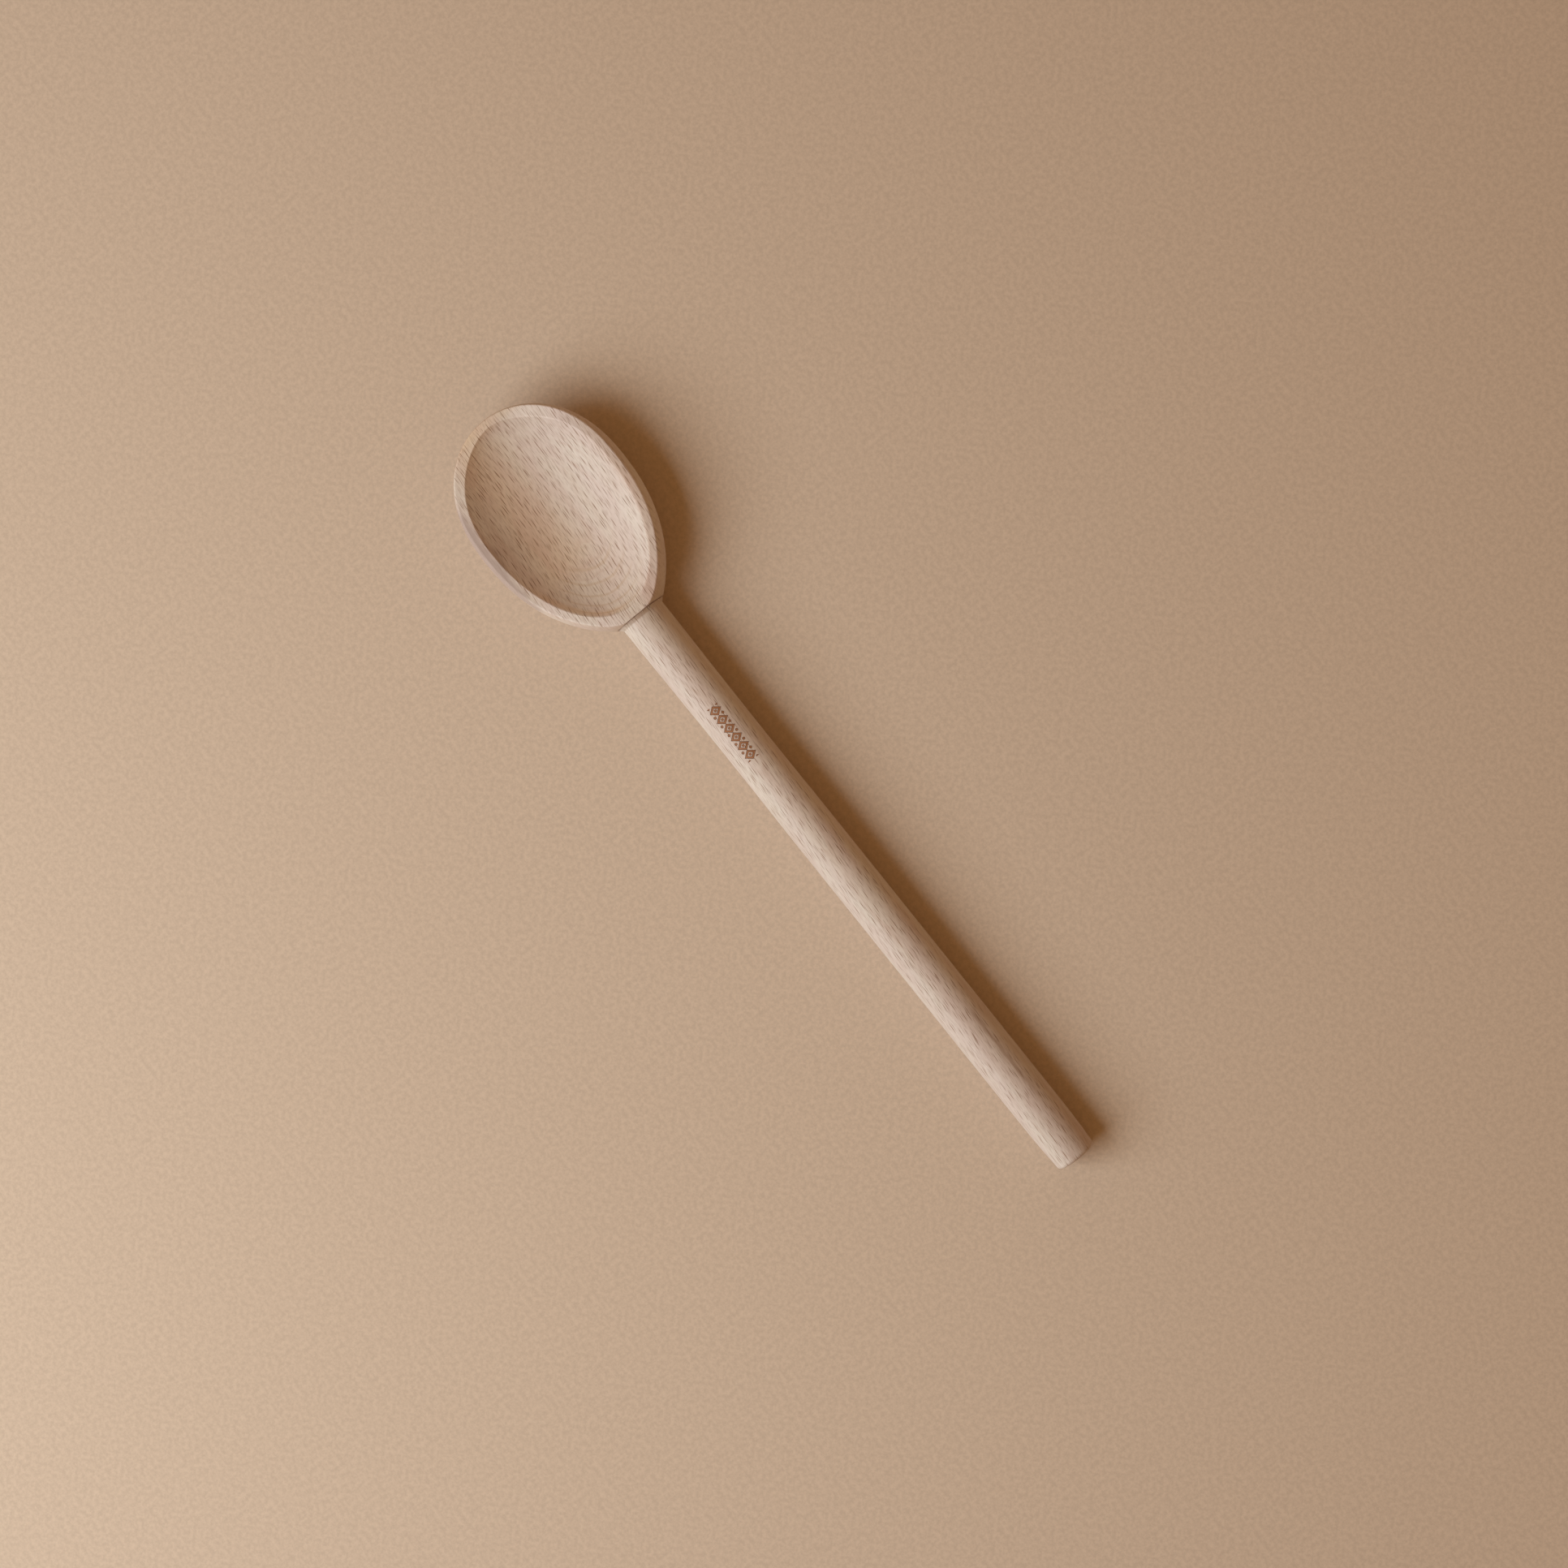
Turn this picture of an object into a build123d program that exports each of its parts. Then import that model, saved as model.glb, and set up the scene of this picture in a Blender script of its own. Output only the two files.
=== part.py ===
from build123d import *
import math
import os

# Wooden spoon, turned and carved from one beech blank about 300 mm long.
# As it is made, the handle's axis is the X axis and the flat shoulder at the neck is at X = 0.
# The bowl reaches towards -X and its hollow opens towards +Z.
# At the end the spoon is laid down as it rests on a table, under the middle of its box.

# Outside of the bowl
bowl_length = 77.5  # from the shoulder to the tip
bowl_width = 55.6
widest_from_shoulder = 42.5
rim_above_axis = 9.7  # the flat rim, above the handle's axis
back_below_axis = 9.4  # the lowest point of the back, below the handle's axis
widest_line_above_axis = 4.8  # the widest line of the side wall, at the middle of the bowl
tip_above_axis = 7.6  # the same line at the tip, just under the rim
shoulder_radius = 9.15  # the round that the bowl has shrunk to at the shoulder
shoulder_crown = 11.1  # height that this round would reach above the axis if the rim didn't cut it
rim_inset = 1.5  # how far the side wall leans in between the widest line and the rim
rim_round = 0.5  # sanded outer edge of the rim

# Rounding of the bowl's outline, section and side view, as powers of shares of its sizes
neck_run_power_share = 2.25
neck_width_power_share = 1.46
neck_rise_power_share = 0.6
nose_rise_power_share = 1.5
nose_run_power_share = 2.29
nose_width_power_share = 1.97
nose_back_power_share = 1.6
wall_power_share = 1.0
back_power_share = 1.12

# Hollow of the bowl
hollow_depth = 11.0
rim_land = 2.6  # flat of the rim at the sides
tip_land = 2.9  # from the tip to the hollow
neck_land = 3.1  # from the shoulder to the hollow
hollow_round = 0.35  # softened edge of the hollow
hollow_neck_power_share = 2.0
hollow_tip_run_power_share = 2.46
hollow_tip_width_power_share = 1.64
dish_power_share = 1.56
dish_rise = 1.0  # the dish's own widest line, above the rim

# Handle
handle_length = 221.0
collar_step = 0.25  # from the shoulder's round in to the short cone that the rounding cutter leaves there
collar_length = 1.4  # the cone's length
root_radius = 7.65
waist_radius = 7.3
waist_from_shoulder = 57.0
grip_radius = 7.45
grip_start = 92.0
end_run = 18.0  # the last stretch, where the grip narrows to the end
end_radius = 6.95
end_corner = 1.7
end_dome = 0.5

# Fineness of the lofted forms
stations = 8
quarter_steps = 4

# Rounds of tilting until both the bowl and the handle touch the table
settling_rounds = 7


def outline_share(run_share, run_power, width_power):
    """Half-width, as a share of the widest, at a share of the run from the widest place to the end."""
    return (1 - run_share**run_power) ** (1 / width_power)


def stations_to_end(count):
    """Shares of a run between its two ends, closer together where the outline turns in."""
    return [math.sin(math.pi / 2 * step / count) for step in range(1, count)]


def ring(above_power, below_power):
    """Closed oval as shares of half-width and height, from its top round by its side and bottom."""
    count = 4 * quarter_steps
    angles = [2 * math.pi * step / count for step in range(count)]
    powers = [above_power if math.cos(angle) > 0 else below_power for angle in angles]
    heights = [math.copysign(abs(math.cos(a)) ** p, math.cos(a)) for a, p in zip(angles, powers)]
    return [(math.sin(angle), height) for angle, height in zip(angles, heights)]


def cross_section(x, half_width, middle, above, below, oval):
    """Face across the spoon: one smooth closed curve, widest at the height of its middle."""
    points = [(x, half_width * y, middle + z * (above if z > 0 else below)) for y, z in oval]
    return Face(Wire([Spline(*points, periodic=True)]))


def bowl_outside():
    """Egg that is widest near its tip and narrows to a round neck, cut flat at the rim."""
    half_width = bowl_width / 2
    oval = ring(wall_power_share, back_power_share)
    wall_height = rim_above_axis - widest_line_above_axis
    crown = wall_height / math.sqrt(1 - (1 - rim_inset / half_width) ** 2)
    depth = widest_line_above_axis + back_below_axis
    nose_run = bowl_length - widest_from_shoulder
    sections = [Vertex(-bowl_length, 0, tip_above_axis)]
    for share in reversed(stations_to_end(stations)):
        width_share = outline_share(share, nose_run_power_share, nose_width_power_share)
        rise = (tip_above_axis - widest_line_above_axis) * share**nose_rise_power_share
        middle = widest_line_above_axis + rise
        above = crown * width_share
        below = depth * width_share**nose_back_power_share
        place = (-widest_from_shoulder - share * nose_run, half_width * width_share, middle)
        sections.append(cross_section(*place, above, below, oval))
    shoulder_share = shoulder_radius / half_width
    reach = (1 - shoulder_share**neck_width_power_share) ** (1 / neck_run_power_share)
    for step in range(stations + 1):
        share = step / stations
        width_share = outline_share(share * reach, neck_run_power_share, neck_width_power_share)
        blend = max(width_share - shoulder_share, 0) / (1 - shoulder_share)
        rise = blend**neck_rise_power_share
        middle = widest_line_above_axis * rise
        above = shoulder_crown + (crown - shoulder_crown) * rise
        below = middle + shoulder_radius + (back_below_axis - shoulder_radius) * blend
        place = (-widest_from_shoulder * (1 - share), half_width * width_share, middle)
        sections.append(cross_section(*place, above, below, oval))
    return split(loft(sections), Plane.XY.offset(rim_above_axis), keep=Keep.BOTTOM)


def hollow():
    """Dish cut into the rim. Its widest line is a little above the rim, so it meets it at a slant."""
    depth = hollow_depth + dish_rise
    reach = math.sqrt(1 - (dish_rise / depth) ** (2 / dish_power_share))
    half_width = (bowl_width / 2 - rim_inset - rim_land) / reach
    neck_run = (widest_from_shoulder - neck_land) / reach
    tip_run = (bowl_length - tip_land - widest_from_shoulder) / reach
    height = rim_above_axis + dish_rise
    oval = ring(dish_power_share, dish_power_share)

    def station(run, share, width_share):
        fall = depth * (1 - share**2) ** (dish_power_share / 2)
        place = (-widest_from_shoulder + run * share, half_width * width_share, height)
        return cross_section(*place, fall, fall, oval)

    sections = [Vertex(-widest_from_shoulder - tip_run, 0, height)]
    for share in reversed(stations_to_end(stations)):
        width_share = outline_share(share, hollow_tip_run_power_share, hollow_tip_width_power_share)
        sections.append(station(-tip_run, share, width_share))
    sections.append(station(neck_run, 0, 1))
    for share in stations_to_end(stations):
        width_share = outline_share(share, hollow_neck_power_share, hollow_neck_power_share)
        sections.append(station(neck_run, share, width_share))
    sections.append(Vertex(-widest_from_shoulder + neck_run, 0, height))
    return loft(sections)


def bowl():
    """Egg with its hollow, and with the rim's two long edges sanded round."""
    carved = bowl_outside() - hollow()
    rim = carved.faces().sort_by(Axis.Z)[-1]
    long_edges = [edge for edge in rim.outer_wire().edges() if edge.center().X < -neck_land]
    carved = fillet(long_edges, rim_round)
    rim = carved.faces().filter_by(GeomType.PLANE).sort_by(Axis.Z)[-1]
    return fillet(rim.inner_wires()[0].edges(), hollow_round)


def handle():
    """Round handle: a short cone at the shoulder, a slight waist, a straight grip and a rounded end."""
    collar_radius = shoulder_radius - collar_step
    root = (collar_length, root_radius)
    waist = (waist_from_shoulder, waist_radius)
    grip = (grip_start, grip_radius)
    taper_start = (handle_length - end_run, grip_radius)
    taper_end = (handle_length - end_corner, end_radius)
    corner_end = (handle_length - end_dome, end_radius - end_corner)
    end_middle = (handle_length, 0)
    narrowing = (1, (waist_radius - root_radius) / waist_from_shoulder)
    swell = Spline(root, waist, grip, tangents=[narrowing, (1, 0)])
    taper = TangentArc(taper_start, taper_end, tangent=(1, 0))
    corner = TangentArc(taper_end, corner_end, tangent=taper % 1)
    face = TangentArc(end_middle, corner_end, tangent=(0, 1))
    cone = Polyline(end_middle, (0, 0), (0, collar_radius), root)
    return revolve(make_face([cone, swell, Line(grip, taper_start), taper, corner, face]), Axis.X)


def laid_down(parts):
    """The spoon on the table, on its back and its handle's end, under the middle of its box."""
    span = widest_from_shoulder + handle_length - end_run
    lift = math.asin((back_below_axis - grip_radius) / span)
    for _ in range(settling_rounds):
        tilted = {name: Rot(0, math.degrees(lift), 0) * solid for name, solid in parts.items()}
        gap = tilted["handle"].bounding_box().min.Z - tilted["bowl"].bounding_box().min.Z
        lift += math.asin(gap / span)
    box = Compound(list(tilted.values())).bounding_box()
    place = Pos(-(box.min.X + box.max.X) / 2, 0, -box.min.Z)
    return {name: place * solid for name, solid in tilted.items()}


os.makedirs("parts", exist_ok=True)
for name, solid in laid_down({"bowl": bowl(), "handle": handle()}).items():
    export_step(solid, f"parts/{name}.step")
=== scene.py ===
import functools
import math

import bmesh
import bpy
from mathutils import Matrix, Vector


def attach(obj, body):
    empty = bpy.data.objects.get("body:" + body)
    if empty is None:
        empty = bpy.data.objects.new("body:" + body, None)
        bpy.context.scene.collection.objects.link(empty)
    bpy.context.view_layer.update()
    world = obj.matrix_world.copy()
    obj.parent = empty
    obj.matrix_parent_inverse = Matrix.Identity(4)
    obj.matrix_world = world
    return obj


bl_info = {
    "name": "Wooden spoon",
    "version": (1, 0, 0),
    "blender": (4, 5, 0),
    "location": "3D View > Sidebar > Spoon",
    "description": "Beech, burnt ornament, torn fibres, light and camera for a wooden spoon",
    "category": "Object",
}

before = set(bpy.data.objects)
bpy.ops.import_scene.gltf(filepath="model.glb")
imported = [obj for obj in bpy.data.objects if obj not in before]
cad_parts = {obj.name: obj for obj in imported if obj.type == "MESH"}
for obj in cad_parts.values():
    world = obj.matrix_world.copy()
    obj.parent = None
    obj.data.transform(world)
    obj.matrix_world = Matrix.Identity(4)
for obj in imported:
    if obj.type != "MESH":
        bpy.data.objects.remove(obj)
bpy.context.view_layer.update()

MM = 0.001

# Where things lie on the spoon, in millimetres in the spoon's own frame
SHOULDER_X = -71.78  # the flat shoulder at the neck
AXIS_Z = 9.19  # the handle's axis at the shoulder
HANDLE_TILT = math.radians(0.489)  # the handle dips by this towards its end
HANDLE_SLOPE = math.tan(HANDLE_TILT)

# Tones of the beech's details
LATE_TONE = (0.56, 0.40, 0.30)
STRAND_DARK = (0.52, 0.37, 0.28)
STRAND_PALE = (0.76, 0.64, 0.55)
FIBRE_DARK = (0.50, 0.345, 0.25)
FIBRE_PALE = (0.74, 0.60, 0.475)
FLAKE_TONE = (0.50, 0.355, 0.265)
END_TONE = (0.52, 0.375, 0.28)
PORE_TONE = (0.38, 0.25, 0.175)
TORN_TONE = (0.80, 0.69, 0.585)
# Painted shadow of the bowl on the neck
BOWL_SHADOW_TONE = (0.42, 0.29, 0.215)
LINE_TONE = (0.17, 0.08, 0.05)
RIM_GREY = (0.43, 0.315, 0.27)
ARC_TONE = (0.50, 0.31, 0.155)
STREAK_TONE = (0.38, 0.245, 0.175)
SCORCH_TONE = (0.42, 0.24, 0.14)

# Rays: their rows are shifted along the grain by this for each step across it
RAY_STAGGER = 1.7

# The neck's round at the shoulder and the cone beside it, where the torn fibres lie, in millimetres
NECK_RADIUS = 9.12
CONE_RADIUS = 8.9
CONE_LENGTH = 1.4
CONE_FALL = 0.893  # what the cone's radius loses over its length, per millimetre
FIBRE_RAISE = 0.10  # height of a sliver's axis above the round
FIBRE_TURN = 0.6  # radians by which a sliver leans up for each millimetre of its lift

# Torn slivers: angle round the handle from the top in degrees, then start and end along it from the
# shoulder, and lift, in millimetres
SLIVERS = [
    (22.5, -0.2, 1.0, 0.06),
    (26.8, -0.3, 1.7, 0.16),
    (28.2, -0.2, 1.2, 0.22),
    (31.5, -0.3, 1.1, 0.05),
    (12.0, -0.2, 0.8, 0.10),
    (-33.0, -0.3, 0.9, 0.10),
    (61.0, -0.2, 1.0, 0.12),
    (-58.0, -0.2, 0.7, 0.08),
]

# The stage
FLOOR_HALF = 3.0  # half of the floor's side, in metres
FLOOR_DROP = 0.05 * MM  # the floor lies just under the spoon
SPECKLE_SHADE = 0.86  # darkest speckles of the paper, as a share of its tone
FAR_START = 420.0  # distance at which the floor starts to run into the backdrop, in millimetres
FAR_END = 1300.0
BACKDROP_TONE = (0.80, 0.72, 0.64)
BACKDROP_LEVEL = 0.8

# The camera. Its lens and its sensor, in millimetres, give a view of 27 degrees
LENS = 50.0
SENSOR = 24.0
NEAREST = 0.05  # nearest thing it sees, in metres
AIM = Vector((-1.36, 0.0, 8.53)) * MM  # the point at the picture's middle, before its shift
AIM_SHIFT = Vector((0.0, 1.55, 0.0)) * MM  # across the view, in the leaning camera's frame


class SpoonWood(bpy.types.PropertyGroup):
    """Colours and grain of the beech."""

    yellow_tone: bpy.props.FloatVectorProperty(
        name="Yellow tone", description="The wood where it is palest",
        subtype="COLOR", size=3, default=(0.680, 0.565, 0.478), min=0, max=1)
    pink_tone: bpy.props.FloatVectorProperty(
        name="Pink tone", description="The wood where steaming has turned it pink",
        subtype="COLOR", size=3, default=(0.656, 0.516, 0.446), min=0, max=1)
    ray_tone: bpy.props.FloatVectorProperty(
        name="Ray tone", description="The short dark rays",
        subtype="COLOR", size=3, default=(0.205, 0.085, 0.030), min=0, max=1)
    grain_slant: bpy.props.FloatProperty(
        name="Grain slant", description="Turn of the grain away from the handle's axis",
        subtype="ANGLE", unit="ROTATION", default=math.radians(3.8))
    ray_length: bpy.props.FloatProperty(
        name="Ray length", description="Half of a ray's length along the grain",
        subtype="DISTANCE", unit="LENGTH", default=2.2 * MM, min=0.1 * MM)
    ray_width: bpy.props.FloatProperty(
        name="Ray width", description="Half of a ray's width across the grain",
        subtype="DISTANCE", unit="LENGTH", default=0.19 * MM, min=0.01 * MM)
    ray_strength: bpy.props.FloatProperty(
        name="Ray strength", description="How dark the rays are",
        subtype="FACTOR", default=0.95, min=0, max=1)
    ring_spacing: bpy.props.FloatProperty(
        name="Ring spacing", description="Thickness of one year's growth",
        subtype="DISTANCE", unit="LENGTH", default=1.25 * MM, min=0.1 * MM)
    roughness: bpy.props.FloatProperty(
        name="Roughness", description="Roughness of the sanded wood",
        subtype="FACTOR", default=0.68, min=0, max=1)


class SpoonOrnament(bpy.types.PropertyGroup):
    """Row of lozenges burnt into the top of the handle."""

    middle_x: bpy.props.FloatProperty(
        name="Middle", description="Place of the row's middle along the spoon",
        subtype="DISTANCE", unit="LENGTH", default=-24.0 * MM)
    motifs: bpy.props.IntProperty(
        name="Motifs", description="Number of lozenges", default=6, min=1, max=30)
    pitch: bpy.props.FloatProperty(
        name="Pitch", description="Distance from one lozenge to the next",
        subtype="DISTANCE", unit="LENGTH", default=3.5 * MM, min=0.5 * MM)
    half_height: bpy.props.FloatProperty(
        name="Half height", description="Half of a lozenge's height",
        subtype="DISTANCE", unit="LENGTH", default=1.95 * MM, min=0.2 * MM)
    core_tone: bpy.props.FloatVectorProperty(
        name="Core tone", description="Reddish brown of the burnt strokes",
        subtype="COLOR", size=3, default=(0.390, 0.145, 0.045), min=0, max=1)
    edge_tone: bpy.props.FloatVectorProperty(
        name="Edge tone", description="Dark brown of the strokes' scorched edges",
        subtype="COLOR", size=3, default=(0.130, 0.042, 0.012), min=0, max=1)


class SpoonFibres(bpy.types.PropertyGroup):
    """Torn fibres that the rounding cutter left at the shoulder."""

    thickness: bpy.props.FloatProperty(
        name="Thickness", description="Thickness of a sliver at its root",
        subtype="DISTANCE", unit="LENGTH", default=0.24 * MM, min=0.02 * MM)


class SpoonStage(bpy.types.PropertyGroup):
    """Floor, lamp, room light and camera."""

    floor_tone: bpy.props.FloatVectorProperty(
        name="Floor tone", description="Pale warm paper under the spoon",
        subtype="COLOR", size=3, default=(0.675, 0.515, 0.393), min=0, max=1)
    lamp_power: bpy.props.FloatProperty(
        name="Lamp power", description="Power of the one broad lamp",
        unit="POWER", default=14.8, min=0)
    lamp_tone: bpy.props.FloatVectorProperty(
        name="Lamp tone", description="Colour of the lamp, a little cool",
        subtype="COLOR", size=3, default=(0.845, 0.955, 1.0), min=0, max=1)
    lamp_size: bpy.props.FloatProperty(
        name="Lamp size", description="Side of the square lamp",
        subtype="DISTANCE", unit="LENGTH", default=1.0, min=0.01)
    lamp_distance: bpy.props.FloatProperty(
        name="Lamp distance", description="From the spoon's middle to the lamp",
        subtype="DISTANCE", unit="LENGTH", default=1.2, min=0.1)
    lamp_height: bpy.props.FloatProperty(
        name="Lamp height", description="Angle of the lamp above the table",
        subtype="ANGLE", unit="ROTATION", default=math.radians(41.5))
    lamp_side: bpy.props.FloatProperty(
        name="Lamp side",
        description="Direction of the lamp round the spoon, from the handle's end",
        subtype="ANGLE", unit="ROTATION", default=math.radians(-105))
    air_strength: bpy.props.FloatProperty(
        name="Room light", description="Strength of the light from all sides", default=0.29, min=0)
    air_tone: bpy.props.FloatVectorProperty(
        name="Room tone", description="Warm colour of the light from all sides",
        subtype="COLOR", size=3, default=(1.0, 0.56, 0.22), min=0, max=1)
    camera_distance: bpy.props.FloatProperty(
        name="Camera distance", description="From the point at the picture's middle to the lens",
        subtype="DISTANCE", unit="LENGTH", default=1.0336, min=0.1)
    camera_lean: bpy.props.FloatProperty(
        name="Camera lean", description="Lean of the camera to the spoon's +Y side",
        subtype="ANGLE", unit="ROTATION", default=math.radians(6.6))
    camera_heading: bpy.props.FloatProperty(
        name="Camera heading", description="Turn of the picture against the spoon",
        subtype="ANGLE", unit="ROTATION", default=math.radians(51.30))


class Wire:
    """Output of a node. Arithmetic on it adds Math nodes."""

    def __init__(self, board, socket):
        self.board = board
        self.socket = socket

    def math(self, operation, *others):
        return self.board.math(operation, self, *others)

    def __add__(self, other):
        return self.math("ADD", other)

    __radd__ = __add__

    def __sub__(self, other):
        return self.math("SUBTRACT", other)

    def __rsub__(self, other):
        return self.board.math("SUBTRACT", other, self)

    def __mul__(self, other):
        return self.math("MULTIPLY", other)

    __rmul__ = __mul__

    def __truediv__(self, other):
        return self.math("DIVIDE", other)

    def __abs__(self):
        return self.math("ABSOLUTE")


class Board:
    """Nodes of one material or world."""

    def __init__(self, owner):
        owner.use_nodes = True
        self.tree = owner.node_tree
        self.tree.nodes.clear()

    def node(self, kind, settings=None, inputs=None):
        """Adds a node: first its settings, then the values or links of its sockets."""
        made = self.tree.nodes.new(kind)
        for name, value in (settings or {}).items():
            setattr(made, name, value)
        for key, value in (inputs or {}).items():
            if isinstance(value, Wire):
                self.tree.links.new(value.socket, made.inputs[key])
            else:
                made.inputs[key].default_value = value
        return made

    def wire(self, made, output=0):
        return Wire(self, made.outputs[output])

    def math(self, operation, *values):
        settings = {"operation": operation}
        return self.wire(self.node("ShaderNodeMath", settings, dict(enumerate(values))))

    def vector(self, x, y, z):
        return self.wire(self.node("ShaderNodeCombineXYZ", inputs={0: x, 1: y, 2: z}))

    def split(self, vector):
        made = self.node("ShaderNodeSeparateXYZ", inputs={0: vector})
        return [self.wire(made, axis) for axis in range(3)]

    def length(self, x, y, z=0.0):
        """Distance from the origin."""
        settings = {"operation": "LENGTH"}
        made = self.node("ShaderNodeVectorMath", settings, {0: self.vector(x, y, z)})
        return self.wire(made, "Value")

    @functools.cached_property
    def place(self):
        """Place on the spoon, in millimetres."""
        spot = self.wire(self.node("ShaderNodeTexCoord"), "Object")
        scale = (1 / MM, 1 / MM, 1 / MM)
        return self.wire(self.node("ShaderNodeMapping", inputs={"Vector": spot, "Scale": scale}))

    @functools.cached_property
    def facing(self):
        """Direction that the face looks in, as its three shares."""
        return self.split(self.wire(self.node("ShaderNodeTexCoord"), "Normal"))

    @functools.cached_property
    def seen(self):
        """1 where it is looked at, straight, in a gloss or through glass, and 0 where it lights."""
        path = self.node("ShaderNodeLightPath")
        camera = self.wire(path, "Is Camera Ray")
        gloss = self.wire(path, "Is Glossy Ray")
        glass = self.wire(path, "Is Transmission Ray")
        return (camera + gloss + glass).math("MINIMUM", 1.0)

    def noise(self, vector, scale=1.0, detail=2.0, roughness=0.5):
        """Soft noise from 0 to 1, around a half."""
        settings = {"noise_dimensions": "3D"}
        inputs = {"Vector": vector, "Scale": scale, "Detail": detail, "Roughness": roughness}
        return self.wire(self.node("ShaderNodeTexNoise", settings, inputs))

    def fade(self, value, start, end):
        """0 at start, 1 at end, with a smooth way between them."""
        settings = {"interpolation_type": "SMOOTHSTEP"}
        inputs = {"Value": value, "From Min": start, "From Max": end}
        return self.wire(self.node("ShaderNodeMapRange", settings, inputs))

    def between(self, value, start, full, fading, end):
        """0 at start, 1 from full to fading, and 0 again at end."""
        return self.fade(value, start, full) * self.fade(value, end, fading)

    def blend(self, share, first, second, how="MIX"):
        """Colour between two colours."""
        settings = {"data_type": "RGBA", "blend_type": how}
        colours = [tone if isinstance(tone, Wire) else solid(tone) for tone in (first, second)]
        inputs = {0: share, 6: colours[0], 7: colours[1]}
        return self.wire(self.node("ShaderNodeMix", settings, inputs), 2)

    def tint(self, share, colour, factors):
        """Colour multiplied by factors round 1, which keeps its pattern."""
        return self.blend(share, colour, factors, "MULTIPLY")

    def shader(self, kind, inputs):
        return self.wire(self.node(kind, inputs=inputs))

    def finish(self, surface, kind="ShaderNodeOutputMaterial"):
        self.node(kind, inputs={"Surface": surface})


def solid(colour):
    """Colour with its alpha."""
    return (*colour, 1.0)


def rays(board, where, cell, half, presence, shift):
    """One layer of beech's rays: thin lenses along the grain that reach upwards like ribbons.

    Sizes are along, across and up. A cell holds at most one ray, and half is a ray's half-sizes.
    Presence is the share of cells with a ray, and shift makes one layer differ from the next.
    The result is from 0 to 1."""
    along, across, up = where
    spread = (along + across * RAY_STAGGER, across, up)
    places = [(value + offset) / size for value, offset, size in zip(spread, shift, cell)]
    cells = board.node(
        "ShaderNodeTexVoronoi",
        {"voronoi_dimensions": "3D", "feature": "F1", "distance": "EUCLIDEAN"},
        {"Vector": board.vector(*places), "Scale": 1.0, "Randomness": 0.75})
    centre = board.split(board.wire(cells, "Position"))
    luck = board.split(board.wire(cells, "Color"))
    away = [(place - middle) * size for place, middle, size in zip(places, centre, cell)]
    away[0] = away[0] - away[1] * RAY_STAGGER
    length = board.length(*[distance / reach for distance, reach in zip(away, half)])
    chosen = luck[0].math("LESS_THAN", presence)
    return board.fade(length, 1.0, 0.35) * chosen * (luck[1] * 0.4 + 0.6)


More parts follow.
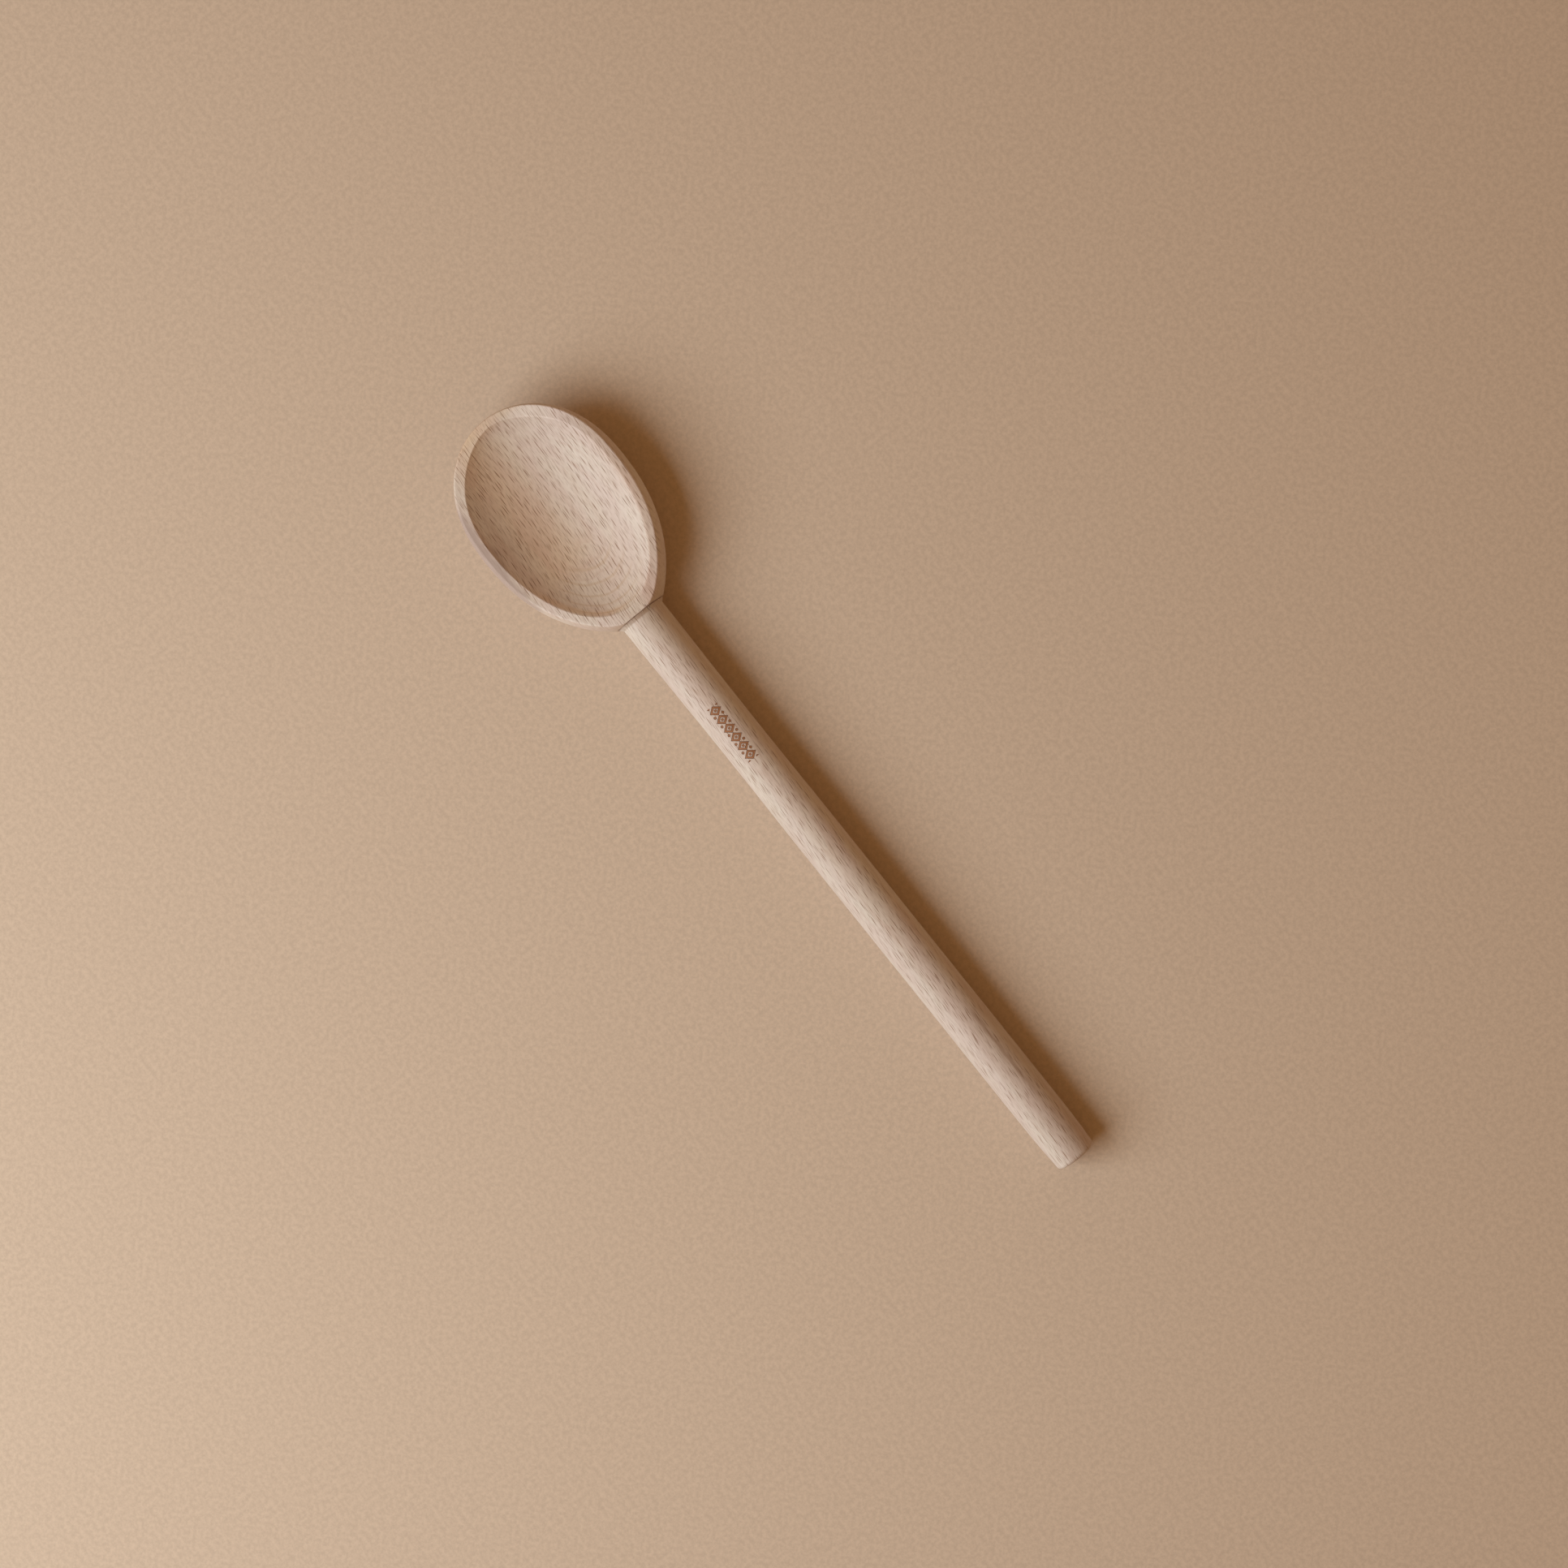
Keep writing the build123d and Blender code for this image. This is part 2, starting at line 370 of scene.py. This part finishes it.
def beech(name, wood, extras, slim=1.18, level=(0.25, 0.62)):
    """Sanded beech, in millimetres along its grain. Extras change the colour and the height.

    Slim makes the rays longer and thinner. Level says how far up a face looks where rays start to
    show and where they show in full."""
    material = bpy.data.materials.new(name)
    board = Board(material)
    turned = board.node(
        "ShaderNodeMapping", inputs={"Vector": board.place, "Rotation": (0, 0, wood.grain_slant)})
    along, straight, up = board.split(board.wire(turned))
    broad = board.noise(board.vector(along / 30, straight / 9, up / 9), detail=1.0)
    narrow = board.noise(board.vector(along / 5, straight / 2.5, up / 4), detail=1.0)
    across = straight + (broad - 0.5) * 0.8 + (narrow - 0.5) * 0.10

    # Growth rings lie almost level, so they show as soft arcs in the hollow
    height = up - along * 0.035 + straight * 0.03 + (broad - 0.5) * 2.0
    ring = (height / (wood.ring_spacing / MM)).math("FRACT")
    patches = board.noise(board.vector(along / 20 + 3, across / 12, up / 3), detail=1.0)
    late = board.between(ring, 0.62, 0.93, 0.93, 1.0) * board.fade(patches, 0.42, 0.66)
    wide = board.noise(board.vector(along / 26, across / 8, up / 5))
    pinkness = board.fade(wide + late * 0.10, 0.34, 0.66)
    colour = board.blend(pinkness, wood.yellow_tone, wood.pink_tone)
    bands = board.noise(
        board.vector(along / 60, across / 5, up / 4 + 7.3), detail=3.0, roughness=0.6)
    colour = board.blend(board.fade(bands, 0.50, 0.80) * 0.30 + late * 0.28, colour, LATE_TONE)

    # Soft broad strands along the grain, and fine fibres in them
    strand = board.noise(board.vector(along / 9, across / 0.62, up / 2), roughness=0.6)
    colour = board.blend(board.fade(strand, 0.48, 0.74) * 0.34, colour, STRAND_DARK)
    colour = board.blend(board.fade(strand, 0.50, 0.28) * 0.34, colour, STRAND_PALE)
    fibre = board.noise(
        board.vector(along / 4, across / 0.16, up / 0.6), detail=3.0, roughness=0.65)
    colour = board.blend(board.fade(fibre, 0.48, 0.85) * 0.50, colour, FIBRE_DARK)
    colour = board.blend(board.fade(fibre, 0.46, 0.20) * 0.42, colour, FIBRE_PALE)

    # Rays: a strong layer and two finer ones
    long_half = wood.ray_length / MM
    thin_half = wood.ray_width / MM
    slimmed = (along / slim, across * slim, up)
    strong = rays(
        board, slimmed, (5.0, 1.4, 22.0), (long_half, thin_half, 22.0), 0.92, (3.0, 0.4, 5.0))
    second = rays(
        board, slimmed, (4.4, 1.1, 17.0), (long_half * 0.75, thin_half * 0.75, 17.0), 0.6,
        (1.1, 7.7, 2.0))
    third = rays(
        board, slimmed, (2.6, 0.7, 12.0), (long_half * 0.5, thin_half * 0.65, 12.0), 0.8,
        (8.3, 2.2, 9.0))
    ray = strong.math("MAXIMUM", second * 0.65).math("MAXIMUM", third * 0.4)

    # Level faces show the rays as dark lenses, upright sides as faint flakes, and ends show pores
    ends = board.fade(abs(board.facing[0]), 0.62, 0.95)
    sides = board.fade(abs(board.facing[1]), 0.70, 0.95)
    flake = rays(
        board, (along, across, up), (3.4, 1.3, 1.6), (1.2, 0.65, 0.42), 0.6, (5.0, 3.3, 1.0))
    colour = board.blend(flake * sides * 0.22, colour, FLAKE_TONE)
    pores = board.noise(
        board.vector(along / 3, across / 0.2, up / 1.6), detail=3.0, roughness=0.6)
    colour = board.blend(ends * 0.28, colour, END_TONE)
    colour = board.blend(ends * board.fade(pores, 0.50, 0.75) * 0.25, colour, PORE_TONE)
    above = board.fade(board.facing[2], *level)
    below = board.fade(board.facing[2], -0.5, -0.8)
    ray = ray * above.math("MAXIMUM", below)
    colour = board.blend(ray * wood.ray_strength, colour, wood.ray_tone)

    colour, relief = extras(board, colour, (fibre - 0.5) * 0.004 - ray * 0.006)
    bump = board.shader("ShaderNodeBump", {"Strength": 1.0, "Distance": MM, "Height": relief})
    board.finish(board.shader("ShaderNodeBsdfPrincipled", {
        "Base Color": colour,
        "Roughness": wood.roughness + (fibre - 0.5) * 0.18 + ray * 0.08,
        "Normal": bump,
        "IOR": 1.45,
    }))
    return material


def shoulder_line(board, colour, relief):
    """Dark line where the rounding cutter stopped, with painted shadow of the bowl beside it on the
    +Y side and painted shade in two tears.
    """
    x, y, z = board.split(board.place)
    beyond = x - SHOULDER_X
    wobble = board.noise(board.place, scale=0.42) - 0.5
    off = beyond - (z - AXIS_Z) * HANDLE_SLOPE + wobble * 0.5
    patchy = board.fade(board.noise(board.place, scale=0.33, detail=1.0), 0.30, 0.55)
    line = board.fade(abs(off - 0.12), 0.22, 0.05) * (patchy * 0.5 + 0.5)
    line = line * (board.fade(y, -6.5, -1.5) * 0.45 + 0.55)
    # Painted shadow of the bowl on the neck beside the line, on the +Y side
    beside = board.between(off, -0.35, 0.1, 1.0, 1.7) * board.fade(y, -5, 0)
    colour = board.blend(beside * 0.25, colour, BOWL_SHADOW_TONE)
    # Two tears across the shoulder, painted as shade in the gaps under the torn slivers, each as
    # its place beside the axis and its half-length
    for side, reach in ((3.8, 1.4), (4.4, 0.7)):
        tear_shade = board.fade(abs(y - side + beyond * 0.06), 0.30, 0.12)
        tear_shade = tear_shade * board.fade(abs(off - 0.3), reach, reach / 2)
        tear_shade = tear_shade * board.fade(z, AXIS_Z, AXIS_Z + 1)
        line = line.math("MAXIMUM", tear_shade * 0.85)
    return board.blend(line * 0.8, colour, LINE_TONE), relief - line * 0.06


def bowl_marks(board, colour, relief):
    """Uneven tones of the bowl, painted light and shade in its hollow, growth rings round its
    hollow and the line at the shoulder.
    """
    x, y, z = board.split(board.place)
    height = z - AXIS_Z + (x - SHOULDER_X) * HANDLE_SLOPE
    patch = board.noise(board.place, scale=0.16) - 0.5
    side = board.fade(y + patch * 5, -22, -25) * board.fade(z, 14, 17)
    colour = board.blend(side * board.between(x, -142, -133, -93, -83) * 0.85, colour, RIM_GREY)

    rim = board.fade(height, 9.1, 9.6)
    # Painted shade: the -Y wall of the hollow faces away from the lamp, and is made redder here
    painted_shade_red = board.between(y, -21, -12, -10, 6) * board.fade(x, -88, -100)
    for share, factors in (
        # Painted light, cooler on the lit +Y wall, and painted shade, redder on the shaded -Y wall;
        # then warmer at the tip, paler towards the neck
        (board.fade(y, 2, 18) * board.fade(abs(y), 24.5, 21), (1.01, 1.04, 1.08)),
        (painted_shade_red, (1.04, 0.97, 0.87)),
        (board.fade(x, -144, -148), (1.04, 1.0, 0.92)),
        (board.fade(x, -118, -90), (1.035, 1.04, 1.04)),
        # The rim: nearly white at the neck's -Y side, browner at its +Y side, pale at the tip's
        (rim * board.fade(x, -98, -89) * board.fade(y, -2.5, -8), (1.09, 1.13, 1.18)),
        (rim * board.fade(x, -122, -104) * board.fade(y, 1, 8), (0.90, 0.82, 0.78)),
        (rim * board.fade(x, -128, -138) * board.fade(y, 5, 12), (1.18, 1.20, 1.24)),
    ):
        colour = board.tint(share, colour, factors)

    # Late wood of the growth rings, as thin arcs round the hollow's neck end
    inside = board.fade(board.facing[0], 0.0, -0.08) * board.fade(x, -102, -92)
    ring = ((height + patch * 0.5 - 0.9) / 1.7).math("FRACT")
    arc = board.fade(abs(ring - 0.5), 0.15, 0.03) * board.fade(height, 9.1, 8.7)
    colour = board.blend(arc * inside * board.between(y, -18, -12, 2, 10) * 0.30, colour, ARC_TONE)
    # The last of these rings is a broad one, just inside the rim on the -Y side
    band = board.between(height, 7.6, 8.5, 9.1, 9.6) * board.fade(y, 1, -5)
    colour = board.tint(band * inside, colour, (1.0, 0.93, 0.84))
    return shoulder_line(board, colour, relief)


def torn_fibres(board, colour, relief):
    """Freshly torn wood, paler than the sanded wood round it."""
    return board.blend(0.6, colour, TORN_TONE), relief


def handle_marks(board, colour):
    """Tones of the handle: painted shade towards its end on the +Y side, painted light on its lit
    -Y side, and a faint mineral streak near its end.
    """
    x, y, z = board.split(board.place)
    # Painted shade: darker towards the end on the +Y side, away from the lamp
    painted_end_shade = board.fade(x, 20, 150) * board.fade(y, -5, 0)
    colour = board.tint(painted_end_shade, colour, (0.90, 0.87, 0.87))
    # Painted light: paler and cooler on the lit -Y side
    colour = board.tint(board.fade(y, 0, -4), colour, (1.01, 1.045, 1.075))
    waves = (board.noise(board.vector(x * 0.16, 0.0, 0.0)) - 0.5) * 1.5
    streak = board.between(x, 86, 96, 112, 130) * board.fade(abs(y - 3.5 + waves), 0.85, 0.15)
    return board.blend(streak * board.fade(z, 9, 10) * 0.6, colour, STREAK_TONE)


def burnt_row(ornament):
    """Marks of the handle, with a row of lozenges and dots burnt into its top."""
    pitch = ornament.pitch / MM
    half_height = ornament.half_height / MM
    start = ornament.middle_x / MM - ornament.motifs * pitch / 2
    slope = half_height / (0.44 * pitch)

    def extras(board, colour, relief):
        colour, relief = shoulder_line(board, colour, relief)
        colour = handle_marks(board, colour)

        x, y, z = board.split(board.place)
        step = (x - start) / pitch
        inside = step.math("GREATER_THAN", 0.0) * step.math("LESS_THAN", float(ornament.motifs))
        inside = inside * board.fade(z, 9, 10)
        beside = abs(step.math("FRACT") - 0.5) * pitch
        aside = abs(y)

        # Distance to the nearest stroke: a lozenge's outline, its dot or a bead between two of them
        lozenge = abs(half_height - 0.30 - aside - beside * slope) / math.hypot(1, slope)
        dot = board.length(beside, aside) - 0.06
        bead = board.length(0.5 * pitch - beside, aside - 0.80 * half_height) - 0.10
        shaky = (board.noise(board.place, scale=2.6, detail=1.0) - 0.5) * 0.12
        distance = lozenge.math("MINIMUM", dot).math("MINIMUM", bead) + shaky

        scorch = board.fade(distance, 0.75, 0.26) * inside
        core = board.fade(distance, 0.28, 0.12)
        burnt = board.blend(core * 0.85, ornament.edge_tone, ornament.core_tone)
        stroke = board.fade(distance, 0.40, 0.30) * inside
        colour = board.blend(scorch * 0.22, colour, SCORCH_TONE)
        colour = board.blend(stroke * 0.93, colour, burnt)
        return colour, relief - stroke * 0.14

    return extras


def clad(node, material):
    """Gives a part of the frame its only material."""
    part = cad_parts[node]
    part.data.materials.clear()
    part.data.materials.append(material)


def placed(name, data):
    """Object of its data, in the scene."""
    made = bpy.data.objects.new(name, data)
    bpy.context.scene.collection.objects.link(made)
    return made


def shaped(name, mesh, material):
    """Object of a finished mesh, at the origin."""
    data = bpy.data.meshes.new(name)
    mesh.to_mesh(data)
    mesh.free()
    data.materials.append(material)
    return placed(name, data)


def turn(mesh, verts, angle, axis):
    """Turns part of a mesh round an axis through the origin."""
    matrix = Matrix.Rotation(angle, 3, axis)
    bmesh.ops.rotate(mesh, verts=verts, cent=(0, 0, 0), matrix=matrix)


class SPOON_OT_bowl(bpy.types.Operator):
    """Gives the bowl its beech, with the line at the shoulder"""

    bl_idname = "spoon.bowl"
    bl_label = "Bowl"

    def execute(self, context):
        clad("bowl", beech("beech_bowl", context.scene.spoon_wood, bowl_marks))
        return {"FINISHED"}


class SPOON_OT_handle(bpy.types.Operator):
    """Gives the handle its beech, with the burnt row on top"""

    bl_idname = "spoon.handle"
    bl_label = "Handle"

    def execute(self, context):
        scene = context.scene
        marks = burnt_row(scene.spoon_ornament)
        clad("handle", beech("beech_handle", scene.spoon_wood, marks, 1.3, (0.3, 0.8)))
        return {"FINISHED"}


class SPOON_OT_fibres(bpy.types.Operator):
    """Lays torn fibres across the shoulder"""

    bl_idname = "spoon.fibres"
    bl_label = "Torn fibres"

    def execute(self, context):
        scene = context.scene
        thick = scene.spoon_fibres.thickness
        mesh = bmesh.new()
        for angle, start, end, lift in SLIVERS:
            verts = bmesh.ops.create_cone(
                mesh, cap_ends=True, segments=8, radius1=thick / 2, radius2=thick / 12,
                depth=(end - start) * MM)["verts"]
            turn(mesh, verts, math.pi / 2, "Y")
            bmesh.ops.scale(mesh, verts=verts, vec=(1, 1.3, 0.6))
            turn(mesh, verts, -lift * FIBRE_TURN, "Y")
            # Just over the neck or the cone at the sliver's middle
            middle = (start + end) / 2
            surface = CONE_RADIUS - CONE_FALL * min(middle, CONE_LENGTH)
            radius = (NECK_RADIUS if middle < 0 else surface) + FIBRE_RAISE + lift
            bmesh.ops.translate(mesh, verts=verts, vec=(middle * MM, 0, radius * MM))
            turn(mesh, verts, -math.radians(angle), "X")
        turn(mesh, mesh.verts, HANDLE_TILT, "Y")
        bmesh.ops.translate(mesh, verts=mesh.verts, vec=(SHOULDER_X * MM, 0, AXIS_Z * MM))
        for face in mesh.faces:
            face.smooth = True
        wood = beech("beech_fibres", scene.spoon_wood, torn_fibres)
        made = shaped("shoulder_fibres", mesh, wood)
        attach(made, "root")
        return {"FINISHED"}


def paper(tone):
    """Speckled paper that runs into the backdrop far from the spoon."""
    material = bpy.data.materials.new("paper")
    board = Board(material)
    speckle = board.fade(board.noise(board.place, scale=0.65, detail=3.0, roughness=0.7), 0.3, 0.7)
    near = board.shader("ShaderNodeBsdfPrincipled", {
        "Base Color": board.blend(speckle, [SPECKLE_SHADE * part for part in tone], tone),
        "Roughness": 0.9,
        "Specular IOR Level": 0.2,
    })
    glow = board.shader(
        "ShaderNodeEmission", {"Color": solid(BACKDROP_TONE), "Strength": BACKDROP_LEVEL})
    x, y = board.split(board.place)[:2]
    far = board.fade(board.length(x, y), FAR_START, FAR_END)
    board.finish(board.shader("ShaderNodeMixShader", {0: far * board.seen, 1: near, 2: glow}))
    return material


def add_floor(stage):
    mesh = bmesh.new()
    bmesh.ops.create_grid(mesh, x_segments=1, y_segments=1, size=FLOOR_HALF)
    bmesh.ops.translate(mesh, verts=mesh.verts, vec=(0, 0, -FLOOR_DROP))
    floor = shaped("floor", mesh, paper(stage.floor_tone))


def add_lamp(stage):
    lamp = bpy.data.lights.new("lamp", "AREA")
    lamp.shape = "SQUARE"
    lamp.size = stage.lamp_size
    lamp.energy = stage.lamp_power
    lamp.color = stage.lamp_tone
    level = math.cos(stage.lamp_height)
    towards = Vector((
        math.cos(stage.lamp_side) * level, math.sin(stage.lamp_side) * level,
        math.sin(stage.lamp_height)))
    made = placed("lamp", lamp)
    made.location = towards * stage.lamp_distance
    made.rotation_euler = towards.to_track_quat("Z", "Y").to_euler()


def add_room(stage):
    """Light from all sides, behind a pale backdrop."""
    world = bpy.data.worlds.new("room")
    board = Board(world)
    air = board.shader(
        "ShaderNodeBackground", {"Color": solid(stage.air_tone), "Strength": stage.air_strength})
    backdrop = board.shader(
        "ShaderNodeBackground", {"Color": solid(BACKDROP_TONE), "Strength": BACKDROP_LEVEL})
    both = board.shader("ShaderNodeMixShader", {0: board.seen, 1: air, 2: backdrop})
    board.finish(both, "ShaderNodeOutputWorld")
    bpy.context.scene.world = world


def add_camera(stage):
    camera = bpy.data.cameras.new("camera")
    camera.lens = LENS
    camera.sensor_width = SENSOR
    camera.clip_start = NEAREST
    lean = Matrix.Rotation(-stage.camera_lean, 4, "X")
    place = AIM + lean @ (AIM_SHIFT + Vector((0, 0, stage.camera_distance)))
    heading = Matrix.Rotation(stage.camera_heading, 4, "Z")
    made = placed("camera", camera)
    made.matrix_world = Matrix.Translation(place) @ lean @ heading
    bpy.context.scene.camera = made


class SPOON_OT_stage(bpy.types.Operator):
    """Makes the floor, the lamp, the room light and the camera"""

    bl_idname = "spoon.stage"
    bl_label = "Stage"

    def execute(self, context):
        stage = context.scene.spoon_stage
        add_floor(stage)
        add_lamp(stage)
        add_room(stage)
        add_camera(stage)
        context.scene.view_settings.view_transform = "Standard"
        return {"FINISHED"}


class SPOON_PT_panel(bpy.types.Panel):
    """Sizes and colours of the spoon, with the steps that make it"""

    bl_label = "Wooden spoon"
    bl_idname = "SPOON_PT_panel"
    bl_space_type = "VIEW_3D"
    bl_region_type = "UI"
    bl_category = "Spoon"

    def draw(self, context):
        for group, operator in STEPS.items():
            box = self.layout.box()
            values = getattr(context.scene, group)
            for name in type(values).__annotations__:
                box.prop(values, name)
            box.operator(operator)


# The groups of values, each with the operator that uses it most, in the order in which they run
STEPS = {
    "spoon_stage": "spoon.stage",
    "spoon_wood": "spoon.bowl",
    "spoon_ornament": "spoon.handle",
    "spoon_fibres": "spoon.fibres",
}
GROUPS = {
    "spoon_stage": SpoonStage,
    "spoon_wood": SpoonWood,
    "spoon_ornament": SpoonOrnament,
    "spoon_fibres": SpoonFibres,
}
CLASSES = [
    *GROUPS.values(),
    SPOON_OT_stage,
    SPOON_OT_bowl,
    SPOON_OT_handle,
    SPOON_OT_fibres,
    SPOON_PT_panel,
]


def register():
    for made in CLASSES:
        bpy.utils.register_class(made)
    for name, group in GROUPS.items():
        setattr(bpy.types.Scene, name, bpy.props.PointerProperty(type=group))


def unregister():
    for name in GROUPS:
        delattr(bpy.types.Scene, name)
    for made in reversed(CLASSES):
        bpy.utils.unregister_class(made)


def main():
    register()
    bpy.ops.spoon.stage()
    bpy.ops.spoon.bowl()
    bpy.ops.spoon.handle()
    bpy.ops.spoon.fibres()


if __name__ == "__main__":
    main()
